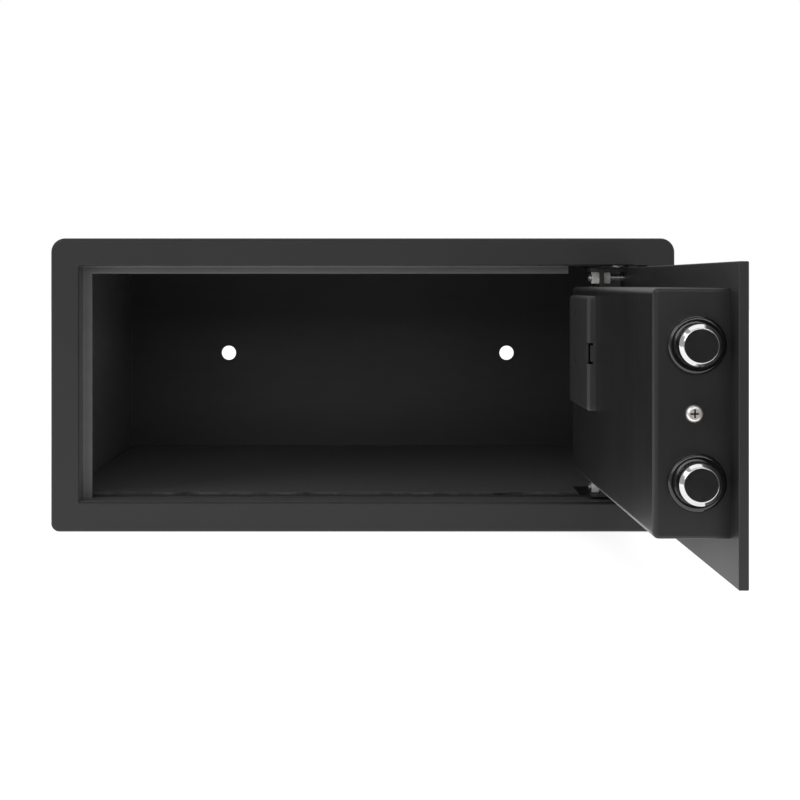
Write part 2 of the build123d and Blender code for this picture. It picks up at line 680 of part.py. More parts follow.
def gearbox():
    """The reduction box screwed to the door under the pinion."""
    w, h = GEARBOX_W / 2, GEARBOX_H / 2
    y0 = DOOR_INNER
    box = slab(PINION_X - w, PINION_X + w, y0, y0 + GEARBOX_D, PINION_Z - h, PINION_Z + h)
    box = fillet(box.edges().filter_by(Axis.Y), GEARBOX_CORNER_R)
    bore_y = (y0 + SHAFT_SEAT - 1, y0 + GEARBOX_D + 1)
    return box - rod_y(PINION_X, *bore_y, PINION_Z, PINION_BORE_R + PLUG_CLEAR)


def motor():
    """The small motor lying beside the gearbox, above the rack."""
    start = PINION_X + GEARBOX_W / 2
    y, z = DOOR_INNER + MOTOR_R + MOTOR_GAP, PINION_Z + MOTOR_RAISE
    can = rod_x(start, start + MOTOR_L, y, z, MOTOR_R)
    can = fillet(can.faces().sort_by(Axis.X)[-1].edges(), MOTOR_EDGE_R)
    return can + rod_x(start + MOTOR_L, start + MOTOR_L + MOTOR_BOSS_L, y, z, MOTOR_BOSS_R)


def bolt_switch():
    """The microswitch below the yoke that tells the board where the bolts are."""
    top = BOLT_ZS[1] - BOLT_R - SWITCH_DROP
    x0, x1 = YOKE_LEFT - YOKE_T, YOKE_LEFT - YOKE_T + SWITCH_W
    switch = slab(x0, x1, DOOR_INNER, DOOR_INNER + SWITCH_D, top - SWITCH_H, top)
    y = DOOR_INNER + SWITCH_D - LEVER_W
    return switch + slab(x0 + LEVER_W, x1, y - LEVER_W, y, top, top + LEVER_T)


def circuit_board():
    """The control board between the drive and the battery bay, on four stand-offs."""
    x0, x1, z0, z1 = BOARD_AREA
    y0 = DOOR_INNER + BOARD_STAND
    board = [slab(x0, x1, y0, y0 + BOARD_T, z0, z1)]
    for x in (x0 + STANDOFF_IN, x1 - STANDOFF_IN):
        for z in (z0 + STANDOFF_IN, z1 - STANDOFF_IN):
            board.append(rod_y(x, DOOR_INNER, y0, z, STANDOFF_R))
    return board


def on_board(x, z, w, h, rise):
    """A block standing on the control board, with its middle at x, z."""
    y = DOOR_INNER + BOARD_STAND + BOARD_T
    return slab(x - w / 2, x + w / 2, y, y + rise, z - h / 2, z + h / 2)


def board_parts():
    """The larger components on the control board: relay, controller, sockets, capacitors."""
    x0, x1, z0, z1 = BOARD_AREA
    mid, third = (x0 + x1) / 2, (z1 - z0) / 3
    y = DOOR_INNER + BOARD_STAND + BOARD_T
    parts = [on_board(mid, z0 + third / 2, *RELAY), on_board(mid, z0 + 1.4 * third, *CHIP)]
    for x in (x0 + SOCKET_IN, x1 - SOCKET_IN):
        parts.append(on_board(x, z1 - third, *SOCKET))
    for side in (-1, 1):
        x = mid + side * 1.5 * CAPACITOR_R
        parts.append(rod_y(x, y, y + CAPACITOR_H, z1 - third / 2, CAPACITOR_R))
    return parts


# ------------------------------------------------------------------ battery bay
def bay_floor_y():
    """The inner depth of the battery tray's floor."""
    return CASE_BACK - 2 * CELL_R - BAY_OVER_CELLS


def battery_tray():
    """The moulded tray that drops through the case's window and holds the cells."""
    g, w = BAY_GAP, BAY_WALL
    x0, x1, z0, z1 = BAY_LEFT + g, BAY_RIGHT - g, BAY_LOW + g, BAY_HIGH - g
    y0 = bay_floor_y() - w
    tray = slab(x0, x1, y0, CASE_BACK, z0, z1)
    cell_x1 = x0 + w + CELL_L + CELL_NIB_L + 2 * (CONTACT_T + CELL_PLAY)
    tray -= slab(x0 + w, cell_x1, y0 + w, CASE_BACK + 1, z0 + w, z1 - w)
    button_x = (cell_x1 + w + x1) / 2
    tray -= slab(cell_x1 + w, x1 - w, y0 + w, CASE_BACK + 1, COVER_MID_Z, z1 - w)
    roof, z = CASE_BACK - RESET_ROOF, BAY_LOW + RESET_LIFT
    well_low = roof - RESET_FLANGE_T - 2 * RESET_TRAVEL
    hole = rod_y(button_x, roof - 1, CASE_BACK + 1, z, RESET_R + RESET_CLEAR)
    well = rod_y(button_x, well_low, roof, z, RESET_R + RESET_FLANGE + BAY_GAP)
    return tray - hole - well, cell_x1, button_x


def cell_zs():
    """The heights of the cells' axes."""
    return [COVER_MID_Z + (i - (CELLS - 1) / 2) * CELL_PITCH for i in range(CELLS)]


def battery_cells():
    """Four AA cells lying side by side, every other one turned round."""
    x0 = BAY_LEFT + BAY_GAP + BAY_WALL + CONTACT_T + CELL_PLAY
    y = bay_floor_y() + CELL_R + CELL_SEAT
    cells = []
    for i, z in enumerate(cell_zs()):
        nib_first = i % 2 == 0
        start = x0 + (CELL_NIB_L if nib_first else 0)
        cell = rod_x(start, start + CELL_L, y, z, CELL_R)
        cell = fillet(cell.edges().filter_by(GeomType.CIRCLE), CELL_EDGE_R)
        if nib_first:
            cell += rod_x(x0, start, y, z, CELL_NIB_R)
        else:
            cell += rod_x(start + CELL_L, start + CELL_L + CELL_NIB_L, y, z, CELL_NIB_R)
        cells.append(cell)
    return cells


def battery_contacts(cell_x1):
    """The sprung plates at both ends of the cells."""
    x0 = BAY_LEFT + BAY_GAP + BAY_WALL
    y = bay_floor_y() + CELL_R + CELL_SEAT
    plates = []
    for z in cell_zs():
        for x in (x0, cell_x1 - CONTACT_T):
            at = Pos(x + CONTACT_T / 2, y, z)
            plates.append(at * Box(CONTACT_T, CONTACT_W, CONTACT_H))
    return plates


def battery_cover():
    """The moulded lid over the bay, with a latch tongue and a finger grip."""
    x0, x1, z0, z1 = COVER_LEFT, COVER_RIGHT, COVER_LOW, COVER_LOW + COVER_H
    y0, y1 = CASE_BACK, CASE_BACK + COVER_RISE
    lid = slab(x0, x1, y0, y1, z0, z1)
    lid = fillet(lid.edges().filter_by(Axis.Y), COVER_CORNER_R)
    lid = fillet(lid.faces().sort_by(Axis.Y)[-1].edges(), COVER_EDGE_R)
    w = COVER_WALL
    hollow = slab(x0 + 2 * w, x1 - 2 * w, y0 - 1, y1 - w, z0 + 2 * w, z1 - 2 * w)
    lid -= hollow
    low, high = COVER_MID_Z - LATCH_H / 2, COVER_MID_Z + LATCH_H / 2
    lid -= slab(x0 - 1, x0 + LATCH_W, y0 + LATCH_FLOOR, y1 + 1, low, high)
    tongue = (low + TONGUE_GAP, high - TONGUE_GAP)
    lid += slab(x0 + TONGUE_IN, x0 + LATCH_W, y0, y0 + TONGUE_T, *tongue)
    grip_x, grip_z = (x0 + x1) / 2 + GRIP_SHIFT, COVER_MID_Z + GRIP_LIFT
    ring = rod_y(grip_x, y1 - GRIP_DEPTH, y1 + 1, grip_z, GRIP_R)
    ring -= rod_y(grip_x, y1 - 2, y1 + 2, grip_z, GRIP_R - GRIP_W)
    half = slab(grip_x, x1, y1 - COVER_RISE, y1 + 1, z0, z1)
    return lid - (ring & half)


def reset_button(button_x):
    """The code reset button in the tray, under the lid."""
    z = BAY_LOW + RESET_LIFT
    seat = CASE_BACK - RESET_ROOF - RESET_PLAY
    button = rod_y(button_x, seat - RESET_FLANGE_T, CASE_BACK + RESET_STAND, z, RESET_R)
    button = fillet(button.faces().sort_by(Axis.Y)[-1].edges(), RESET_EDGE_R)
    return button + rod_y(button_x, seat - RESET_FLANGE_T, seat, z, RESET_R + RESET_FLANGE)


# ------------------------------------------------------------------ front panel
def key_places():
    """Each key's name with the X and Z of its middle."""
    places = {}
    for row, names in enumerate(KEY_NAMES):
        for column, name in enumerate(names):
            x = KEY_X0 + (column - 1) * KEY_PITCH_X
            places[name] = (x, DOOR_MID_Z + (1.5 - row) * KEY_PITCH_Z)
    return places


def panel_screw_places():
    """The four screw bosses in the panel's corners."""
    dx, dz = PANEL_W / 2 - BOSS_IN, PANEL_H / 2 - BOSS_IN
    return [(PANEL_X + i * dx, DOOR_MID_Z + j * dz) for i in (-1, 1) for j in (-1, 1)]


def keypad_housing():
    """The moulded panel on the door's face, with windows for the keys, display and lock."""
    y0, y1 = PANEL_FACE, DOOR_OUTER
    shell = rounded_plate(PANEL_X, DOOR_MID_Z, PANEL_W, PANEL_H, PANEL_CORNER_R, y0, y1)
    shell = fillet(shell.faces().sort_by(Axis.Y)[0].edges(), PANEL_EDGE_R)
    w = PANEL_WALL
    inner_r = PANEL_CORNER_R - w
    shell -= rounded_plate(
        PANEL_X, DOOR_MID_Z, PANEL_W - 2 * w, PANEL_H - 2 * w, inner_r, y0 + w, y1 + 1
    )
    for x, z in panel_screw_places():
        shell += rod_y(x, y0 + w, y1, z, BOSS_R)
        shell -= rod_y(x, y0 + w + 1, y1 + 1, z, PANEL_SCREW_R)
    for x, z in key_places().values():
        hole_w, hole_h = KEY_W + 2 * KEY_CLEAR, KEY_H + 2 * KEY_CLEAR
        shell -= rounded_plate(x, z, hole_w, hole_h, KEY_CORNER_R + KEY_CLEAR, y0 - 1, y0 + w + 1)
    window_z = DOOR_MID_Z + WINDOW_Z
    eye_w, eye_h = DISPLAY_EYE_W / 2, DISPLAY_EYE_H / 2
    seat = (WINDOW_W, WINDOW_H, WINDOW_CORNER_R, y0 - 1, y0 + WINDOW_T)
    shell -= rounded_plate(LOCK_X, window_z, *seat)
    shell -= slab(
        LOCK_X - eye_w, LOCK_X + eye_w, y0, y0 + w + 1, window_z - eye_h, window_z + eye_h
    )
    shell -= rod_y(LOCK_X, y0 - 1, y0 + w + 1, LOCK_MID_Z, LOCK_FLANGE_R + 0.2)
    return shell - rod_y(LOCK_X, y0 - 1, y0 + w + 1, LOCK_MID_Z + FLAP_RAISE, FLAP_PIN_R - 0.5)


def panel_screws():
    """The four screws that pull the panel on from behind the door."""
    screws = []
    for x, z in panel_screw_places():
        head = rod_y(x, DOOR_INNER, DOOR_INNER + PANEL_SCREW_HEAD_H, z, PANEL_SCREW_HEAD_R)
        head = fillet(head.faces().sort_by(Axis.Y)[-1].edges(), 1.0)
        shank = rod_y(x, DOOR_OUTER - PANEL_SCREW_BITE, DOOR_INNER, z, PANEL_SCREW_R - NUT_CLEAR)
        screws.append(head + shank)
    return screws


def key_cap(x, z):
    """One key with its retaining flange behind the panel."""
    face = PANEL_FACE - KEY_STAND
    back = PANEL_FACE + PANEL_WALL + KEY_TRAVEL + 0.2
    cap = rounded_plate(x, z, KEY_W, KEY_H, KEY_CORNER_R, face, back)
    cap = fillet(cap.faces().sort_by(Axis.Y)[0].edges(), 0.8)
    w, h = KEY_W + 2 * KEY_FLANGE, KEY_H + 2 * KEY_FLANGE
    low = PANEL_FACE + PANEL_WALL + 0.05
    return cap + rounded_plate(x, z, w, h, KEY_CORNER_R, low, low + KEY_FLANGE_T)


def key_mat():
    """The silicone sheet on the keypad board, with a sprung dome under each key."""
    y1 = DOOR_OUTER - PANEL_BOARD_UP - BOARD_T
    key_back = PANEL_FACE + PANEL_WALL + KEY_TRAVEL + 0.2
    w, h = 2 * KEY_PITCH_X + KEY_W, 3 * KEY_PITCH_Z + KEY_H
    mat = rounded_plate(KEY_X0, DOOR_MID_Z, w, h, KEY_CORNER_R, y1 - MAT_SHEET_T, y1)
    for x, z in key_places().values():
        mat += rod_y(x, key_back + KEY_TRAVEL + 0.1, y1, z, DOME_R)
    return mat


def keypad_board():
    """The board behind the keys and the display."""
    y0 = DOOR_OUTER - PANEL_BOARD_UP - BOARD_T
    half_w, half_h = PANEL_W / 2 - PANEL_BOARD_IN_X, PANEL_H / 2 - PANEL_BOARD_IN_Z
    board = slab(
        PANEL_X - half_w, PANEL_X + half_w, y0, y0 + BOARD_T, DOOR_MID_Z - half_h, DOOR_MID_Z + half_h
    )
    for x, z in panel_screw_places():
        board -= rod_y(x, y0 - 1, DOOR_OUTER, z, BOSS_R + BOSS_CLEAR)
    return board - rod_y(LOCK_X, y0 - 1, DOOR_OUTER, LOCK_MID_Z, LOCK_R + 1.0)


def display_module():
    """The display block that stands on the keypad board behind the window."""
    z = DOOR_MID_Z + WINDOW_Z
    y1 = DOOR_OUTER - PANEL_BOARD_UP - BOARD_T
    y0, w, h = PANEL_FACE + PANEL_WALL + DISPLAY_GAP, DISPLAY_W / 2, DISPLAY_H / 2
    return slab(LOCK_X - w, LOCK_X + w, y0, y1, z - h, z + h)


def display_window():
    """The tinted window let into the panel over the display."""
    z = DOOR_MID_Z + WINDOW_Z
    y0, y1 = PANEL_FACE, PANEL_FACE + WINDOW_T
    w, h, r = WINDOW_W - 2 * WINDOW_GAP, WINDOW_H - 2 * WINDOW_GAP, WINDOW_CORNER_R - WINDOW_GAP
    return rounded_plate(LOCK_X, z, w, h, r, y0, y1)


def lock_barrel():
    """The fixed barrel of the key override lock."""
    y0 = PANEL_FACE + 0.4
    barrel = rod_y(LOCK_X, y0, y0 + LOCK_L, LOCK_MID_Z, LOCK_R)
    barrel += rod_y(LOCK_X, y0, y0 + LOCK_FLANGE_T, LOCK_MID_Z, LOCK_FLANGE_R)
    return barrel - rod_y(LOCK_X, y0 - 1, y0 + LOCK_L + 1, LOCK_MID_Z, PLUG_R + PLUG_CLEAR)


def lock_plug():
    """The turning plug with its keyway."""
    y0 = PANEL_FACE + 0.5
    plug = rod_y(LOCK_X, y0, y0 + LOCK_L + 1, LOCK_MID_Z, PLUG_R)
    keyway = Pos(LOCK_X, y0 + 8, LOCK_MID_Z) * Box(KEYWAY_W, 20, KEYWAY_H)
    return plug - keyway


def lock_cam():
    """The cam on the plug's tail that draws the yoke back by hand."""
    y0 = PANEL_FACE + 0.5 + LOCK_L + 1
    z0 = LOCK_MID_Z
    cam = slab(LOCK_X - CAM_W / 2, LOCK_X + CAM_W / 2, y0, y0 + CAM_T, z0 - CAM_L, z0)
    cam += rod_y(LOCK_X, y0, y0 + CAM_T, z0, CAM_W / 2 + 1.5)
    return cam


def lock_flap():
    """The round flap that hangs over the keyhole on a pin above it."""
    y1 = PANEL_FACE - FLAP_GAP
    y0 = y1 - FLAP_T
    flap = rod_y(LOCK_X, y0, y1, LOCK_MID_Z, FLAP_R)
    z = LOCK_MID_Z + FLAP_RAISE
    flap += slab(LOCK_X - 4, LOCK_X + 4, y0, y1, LOCK_MID_Z, z)
    flap += rod_y(LOCK_X, y0, y1, z, 4)
    return flap - rod_y(LOCK_X, y0 - 1, y1 + 1, z, FLAP_PIN_R + PLUG_CLEAR)


def flap_rivet():
    """The shouldered rivet that the flap turns on."""
    z = LOCK_MID_Z + FLAP_RAISE
    y1 = PANEL_FACE
    y0 = y1 - FLAP_GAP - FLAP_T - FLAP_GAP
    rivet = rod_y(LOCK_X, y0, y1, z, FLAP_PIN_R)
    head = rod_y(LOCK_X, y0 - 1.0, y0, z, FLAP_PIN_R + 1.0)
    rivet += fillet(head.faces().sort_by(Axis.Y)[0].edges(), 0.6)
    return rivet + rod_y(LOCK_X, y1, y1 + PANEL_WALL, z, FLAP_PIN_R - 0.52)


def cable_loom():
    """The wires from the keypad board through the door to the control board."""
    start = DOOR_OUTER - PANEL_BOARD_UP
    return rod_y(PANEL_X, start, DOOR_INNER + BOARD_STAND, DOOR_MID_Z, LOOM_R)


# ------------------------------------------------------------------ writing the pieces
def main():
    os.makedirs("parts", exist_ok=True)
    tray, cell_x1, button_x = battery_tray()
    arm, pin, stud, nuts = hinge_arm(), hinge_pin(), hinge_stud(), hinge_nuts()
    bush = hinge_bush()
    ends = ((CASE_LEFT, 1), (CASE_RIGHT, -1))
    fixed = {
        "body_wrap": [body_wrap()],
        "rear_panel": [rear_panel()],
        "front_frame": [front_frame()],
        "floor_tray": [floor_tray()],
        "floor_mat": [floor_mat()],
        "hinge_bush_top": [bush],
        "hinge_bush_bottom": [mirrored_z(bush)],
    }
    hung = {
        "door_plate": [door_plate()],
        "hinge_arm_top": [arm],
        "hinge_arm_bottom": [mirrored_z(arm)],
        "hinge_pin_top": [pin],
        "hinge_pin_bottom": [mirrored_z(pin)],
        "hinge_studs": [stud, mirrored_z(stud)],
        "hinge_nuts": nuts + [mirrored_z(nut) for nut in nuts],
        "lock_case": [lock_case()],
        "case_feet": [case_foot(*end) for end in ends],
        "case_screws": [case_screw(*end) for end in ends],
        "bolt_upper": [locking_bolt(BOLT_ZS[0])],
        "bolt_lower": [locking_bolt(BOLT_ZS[1])],
        "bolt_collars": [bolt_collar(z) for z in BOLT_ZS],
        "bolt_yoke": [bolt_yoke()],
        "guide_plate": [guide_plate()],
        "drive_pinion": [drive_pinion()],
        "gearbox": [gearbox()],
        "motor": [motor()],
        "bolt_switch": [bolt_switch()],
        "circuit_board": circuit_board(),
        "board_parts": board_parts(),
        "battery_tray": [tray],
        "battery_cells": battery_cells(),
        "battery_contacts": battery_contacts(cell_x1),
        "battery_cover": [battery_cover()],
        "reset_button": [reset_button(button_x)],
        "keypad_housing": [keypad_housing()],
        "panel_screws": panel_screws(),
        "keypad_board": [keypad_board()],
        "key_mat": [key_mat()],
        "display_module": [display_module()],
        "display_window": [display_window()],
        "lock_barrel": [lock_barrel()],
        "lock_plug": [lock_plug()],
        "lock_cam": [lock_cam()],
        "lock_flap": [lock_flap()],
        "flap_rivet": [flap_rivet()],
        "cable_loom": [cable_loom()],
    }
    for name, (x, z) in key_places().items():
        hung[name] = [key_cap(x, z)]
    for name, solids in {**fixed, **{k: [swung(s) for s in v] for k, v in hung.items()}}.items():
        export_step(Compound(children=[Solid(s.solid().wrapped) for s in solids]), f"parts/{name}.step")


main()
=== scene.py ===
import json
import math

import bmesh
import bpy
from mathutils import Matrix, Vector, noise


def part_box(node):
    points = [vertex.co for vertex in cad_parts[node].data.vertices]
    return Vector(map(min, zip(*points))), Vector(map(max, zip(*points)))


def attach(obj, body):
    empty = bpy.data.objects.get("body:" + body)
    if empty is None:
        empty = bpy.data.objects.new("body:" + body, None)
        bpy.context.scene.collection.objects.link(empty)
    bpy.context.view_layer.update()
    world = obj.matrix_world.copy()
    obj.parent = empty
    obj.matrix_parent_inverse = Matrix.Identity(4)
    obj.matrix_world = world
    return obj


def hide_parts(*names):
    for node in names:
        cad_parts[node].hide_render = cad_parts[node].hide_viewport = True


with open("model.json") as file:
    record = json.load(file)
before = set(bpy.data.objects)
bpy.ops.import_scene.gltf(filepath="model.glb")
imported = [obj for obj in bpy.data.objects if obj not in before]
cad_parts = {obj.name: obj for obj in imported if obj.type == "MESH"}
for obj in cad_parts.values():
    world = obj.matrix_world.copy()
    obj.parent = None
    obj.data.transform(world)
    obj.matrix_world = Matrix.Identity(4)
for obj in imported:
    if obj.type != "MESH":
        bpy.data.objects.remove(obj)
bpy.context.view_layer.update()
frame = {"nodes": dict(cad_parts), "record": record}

# Looks for an electronic laptop safe with its door open at a right angle.
# Metres, in the safe's own frame: +X right, +Y into the safe, +Z up, the floor at Z = 0.
MM = 0.001

# ---------------------------------------------------------------- places taken from the frame
BOLT_NODES = ("bolt_upper", "bolt_lower")
BOLT_CHAMFER = 2.0 * MM
BOLT_EDGE_ROUND = 0.25 * MM
COLLAR_T = 3.6 * MM
COLLAR_ROUND = 1.7 * MM
THREAD_PITCH = 0.8 * MM
THREAD_DEPTH = 0.42 * MM
MAT_NOTCH = (56.0 * MM, 40.0 * MM)
MAT_WAVE = 0.35 * MM
KEY_MARKS = {f"key_{digit}": str(digit) for digit in range(10)}
KEY_MARKS.update({"key_clear": "*", "key_enter": "#"})
MARK_HEIGHT = 9.0 * MM
MARK_PROUD = 0.08 * MM
LED_R = 1.5 * MM
LED_PROUD = 0.2 * MM
DARK_SIDE = (0.19, -0.97, -0.15)
ROOM_LEVEL = 0.46
WALL_SKIN = 1.0 * MM
# Size and start of the painted shade in the screws' cross-shaped hollows.
RECESS_R = 2.1 * MM
RECESS_START = 0.3 * MM
# How far the door opening stands in from the frame's outline: sides, top and bottom.
REVEAL_INSET = (18.8 * MM, 18.2 * MM, 20.0 * MM)
REVEAL_START = 1.2 * MM
# The felt's front edge curls up and frays. Noise scales are in waves per metre.
MAT_WAVE_SCALES = (22, 70)
MAT_CURL = 1.1 * MM
MAT_CURL_SCALE = 60
MAT_FRAY = 1.3 * MM
MAT_FRAY_DEPTH = 9.0 * MM
MAT_FRAY_SCALES = (45, 150)
# Band of the paler fringe on the felt: frayed fibres, and also a painted highlight.
MAT_FUZZ_BAND = (1.5 * MM, 6.0 * MM)
FLOOR_HALF, FLOOR_SHIFT_Y = 5.0, 4.17
CAMERA_AT = (0.0, -1.378, 0.1694)
CAMERA_LENS, CAMERA_SENSOR = 77.85, 36.0
CAMERA_SHIFT = (0.0465, -0.146)
# Name, place, aim, size and power of each soft light.
LAMPS = (
    ("key_light", (-1.5, -1.5, 1.3), (0, -0.25, 0.1), (1.2, 1.2), 8),
    ("fill_light", (1.7, -1.0, 1.2), (0, -0.2, 0.1), (1.0, 1.4), 2),
    ("top_light", (0, -0.4, 1.9), (0, -0.1, 0.1), (1.6, 1.2), 5),
    ("front_light", (0, -2.1, 0.55), (0, 0, 0.1), (1.6, 0.4), 5.5),
)


# ---------------------------------------------------------------- shader tools
class Wire:
    """One output socket. Plain arithmetic on it adds Math nodes to its tree."""

    def __init__(self, shop, socket):
        self.shop, self.socket = shop, socket

    def math(self, operation, a, b=0.0):
        return self.shop.node("ShaderNodeMath", {"operation": operation}, {0: a, 1: b})

    def __add__(self, other):
        return self.math("ADD", self, other)

    def __radd__(self, other):
        return self.math("ADD", other, self)

    def __sub__(self, other):
        return self.math("SUBTRACT", self, other)

    def __rsub__(self, other):
        return self.math("SUBTRACT", other, self)

    def __mul__(self, other):
        return self.math("MULTIPLY", self, other)

    def __rmul__(self, other):
        return self.math("MULTIPLY", other, self)

    def __pow__(self, power):
        return self.math("POWER", self, power)

    def sine(self):
        return self.math("SINE", self)

    def within(self, limit):
        """1 below limit and 0 above it."""
        return self.math("LESS_THAN", self, limit)

    def larger(self, other):
        return self.math("MAXIMUM", self, other)

    def fade(self, low, high):
        """0 below low, 1 above high, and a smooth step between them."""
        settings = {"interpolation_type": "SMOOTHSTEP"}
        return self.shop.node("ShaderNodeMapRange", settings, {0: self, 1: low, 2: high})


class Shop:
    """A node tree under construction: each call adds a node and returns its output."""

    def __init__(self, tree):
        self.tree = tree

    def node(self, kind, settings, inputs, output=0):
        made = self.tree.nodes.new(kind)
        for name, value in settings.items():
            setattr(made, name, value)
        for key, value in inputs.items():
            if isinstance(value, Wire):
                self.tree.links.new(value.socket, made.inputs[key])
            else:
                made.inputs[key].default_value = value
        return Wire(self, made.outputs[output])

    def blend(self, factor, low, high):
        """A colour between low and high."""
        settings = {"data_type": "RGBA", "clamp_factor": True}
        return self.node("ShaderNodeMix", settings, {0: factor, 6: low, 7: high}, 2)


class Finish(Shop):
    """One material, with its Principled shader and object coordinates."""

    def __init__(self, name, **constants):
        self.material = bpy.data.materials.new(name)
        self.material.use_nodes = True
        super().__init__(self.material.node_tree)
        self.shader = self.tree.nodes["Principled BSDF"]
        for key, value in constants.items():
            self.shader.inputs[key.replace("_", " ")].default_value = value

    def feed(self, socket, wire):
        self.tree.links.new(wire.socket, self.shader.inputs[socket])

    def place(self, stretch=(1, 1, 1), shift=(0, 0, 0)):
        """Object coordinates, moved by shift and then stretched."""
        at = self.node("ShaderNodeTexCoord", {}, {}, "Object")
        moved = self.node("ShaderNodeVectorMath", {"operation": "ADD"}, {0: at, 1: shift})
        return self.node("ShaderNodeVectorMath", {"operation": "MULTIPLY"}, {0: moved, 1: stretch})

    def grain(self, size, detail=2.0, stretch=(1, 1, 1), twist=0.0):
        """Noise from 0 to 1 whose features are about size across, in metres."""
        inputs = {"Vector": self.place(stretch), "Scale": 1 / size}
        inputs.update({"Detail": detail, "Roughness": 0.55, "Distortion": twist})
        return self.node("ShaderNodeTexNoise", {}, inputs)

    def relief(self, height, depth):
        """Surface relief, with height from 0 to 1 standing for depth in metres."""
        inputs = {"Strength": 1.0, "Distance": depth, "Height": height}
        self.feed("Normal", self.node("ShaderNodeBump", {}, inputs))

    def separate(self, vector):
        return [self.node("ShaderNodeSeparateXYZ", {}, {0: vector}, i) for i in range(3)]


def grey(level, warm=0.0):
    return (level * (1 + warm), level, level * (1 - warm), 1.0)


# ---------------------------------------------------------------- finishes
def inside_body(coat):
    """1 on the body's inner faces and 0 on its outer ones."""
    low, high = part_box("body_wrap")
    x, y, z = coat.separate(coat.place())
    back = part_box("rear_panel")[1].y - WALL_SKIN
    across = (x * x).within((high.x - WALL_SKIN) ** 2)
    return across * z.within(high.z - WALL_SKIN) * y.within(back)


def inside_mouth(coat):
    """1 on the reveal and the sill of the door opening and 0 on the face around it."""
    low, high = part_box("front_frame")
    x, y, z = coat.separate(coat.place())
    reveal = 1.0 - y.within(low.y + REVEAL_START)
    across = (x * x).within((high.x - REVEAL_INSET[0]) ** 2)
    up = z.within(high.z - REVEAL_INSET[1]) * (1.0 - z.within(low.z + REVEAL_INSET[2]))
    return reveal * across * up


def powder_coat(name, tone, rough, inner=None, gloss_and_painted_sheen=0.0, where=None):
    """Satin black powder coat: orange peel, fine specks, slightly uneven gloss and glossier upright
    streaks painted paler as a painted sheen. Inner faces take the inner tone, a paler painted
    light."""
    coat = Finish(name, Specular_IOR_Level=0.5)
    peel, speck, cloud = coat.grain(1.6 * MM), coat.grain(0.45 * MM), coat.grain(70 * MM, 3.0)
    sheen_streak_noise = coat.grain(11 * MM, 3.0, (1, 1, 0.06))
    shade = coat.blend(cloud.fade(0.3, 0.7), grey(tone * 0.9), grey(tone * 1.1, -0.02))
    # Painted sheen: upright streaks are painted paler, and their roughness is lowered, to stand in
    # for light catching a slightly uneven sheet.
    shade = coat.blend(sheen_streak_noise.fade(0.5, 0.75) * gloss_and_painted_sheen, shade, grey(tone * 2.5))
    # Painted light: the inner faces take the paler inner tone, which stands in for the light that
    # reaches inside.
    if inner:
        scuff = coat.grain(9 * MM, 4.0, (0.25, 1, 1)).fade(0.35, 0.75)
        thin_ink_and_painted_light = coat.blend(scuff, grey(inner * 0.94), grey(inner * 1.07))
        shade = coat.blend((where or inside_body)(coat), shade, thin_ink_and_painted_light)
    coat.feed("Base Color", coat.blend(speck.fade(0.62, 0.8) * 0.35, shade, grey(tone * 2.2)))
    coat.feed("Roughness", rough + (cloud - 0.5) * 0.10 + (speck - 0.5) * 0.12 - sheen_streak_noise * gloss_and_painted_sheen * 0.2)
    coat.relief(peel * 0.7 + speck * 0.3, 0.045 * MM)
    return coat.material


def needle_felt(name):
    """Dark needle felt: short fibres lying two ways, pressed and raised patches, and a paler
    fringe of frayed fibres along the cut front edge, its paler tone partly a painted highlight."""
    felt = Finish(name, Sheen_Weight=0.12, Sheen_Roughness=0.6, Specular_IOR_Level=0.2)
    along = felt.grain(3.0 * MM, 3.0, (1, 6, 1), 0.8)
    across = felt.grain(3.0 * MM, 3.0, (6, 1, 1), 0.8)
    fibre, patch = along.larger(across), felt.grain(28 * MM, 2.0)
    pale = fibre.fade(0.5, 0.72) * (0.55 + patch * 0.6)
    shade = felt.blend(pale, grey(0.012), grey(0.05, 0.03))
    x, y, z = felt.separate(felt.place())
    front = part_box("floor_mat")[0].y
    cut_edge = 1.0 - y.fade(front + MAT_FUZZ_BAND[0], front + MAT_FUZZ_BAND[1])
    # Painted highlight: the fringe along the cut edge is painted paler, partly for frayed fibres
    # and partly for light on the felt's front.
    fuzz_and_highlight = cut_edge * felt.grain(14 * MM, 5.0).fade(0.2, 0.75)
    felt.feed("Base Color", felt.blend(fuzz_and_highlight, shade, grey(0.11, 0.02)))
    felt.feed("Roughness", 0.88 + patch * 0.12)
    felt.relief(fibre * 0.8 + patch * 0.2, 0.5 * MM)
    return felt.material


def turned_chrome(name, centre):
    """Bright plating over a turned bar: fine rings on the end, faint drawing lines along it."""
    chrome = Finish(name, Metallic=1.0)
    x, y, z = chrome.separate(chrome.place(shift=(-centre.x, 0, -centre.z)))
    radius = (x * x + z * z) ** 0.5
    rings = (radius * (2 * math.pi / (0.42 * MM))).sine() * 0.5 + 0.5
    drawn = chrome.grain(1.2 * MM, 2.0, (1, 0.05, 1))
    haze = chrome.grain(6 * MM, 3.0)
    chrome.feed("Base Color", chrome.blend(haze, grey(0.62, -0.01), grey(0.74, 0.01)))
    chrome.feed("Roughness", 0.06 + haze * 0.05 + drawn * 0.03)
    chrome.relief(rings * 0.6 + drawn * 0.4, 0.002 * MM)
    return chrome.material


def plated_steel(name, tone, warm, rough, metal=1.0):
    """Zinc or nickel plate: mottled, with fine tumbling marks."""
    plate = Finish(name, Metallic=metal)
    mottle, mark = plate.grain(2.4 * MM, 3.0), plate.grain(0.5 * MM, 2.0, (1, 1, 3))
    colour = plate.blend(mottle.fade(0.3, 0.75), grey(tone * 0.8, warm), grey(tone, warm * 0.3))
    plate.feed("Base Color", colour)
    plate.feed("Roughness", rough + mottle * 0.14 + mark * 0.08)
    plate.relief(mark, 0.02 * MM)
    return plate.material


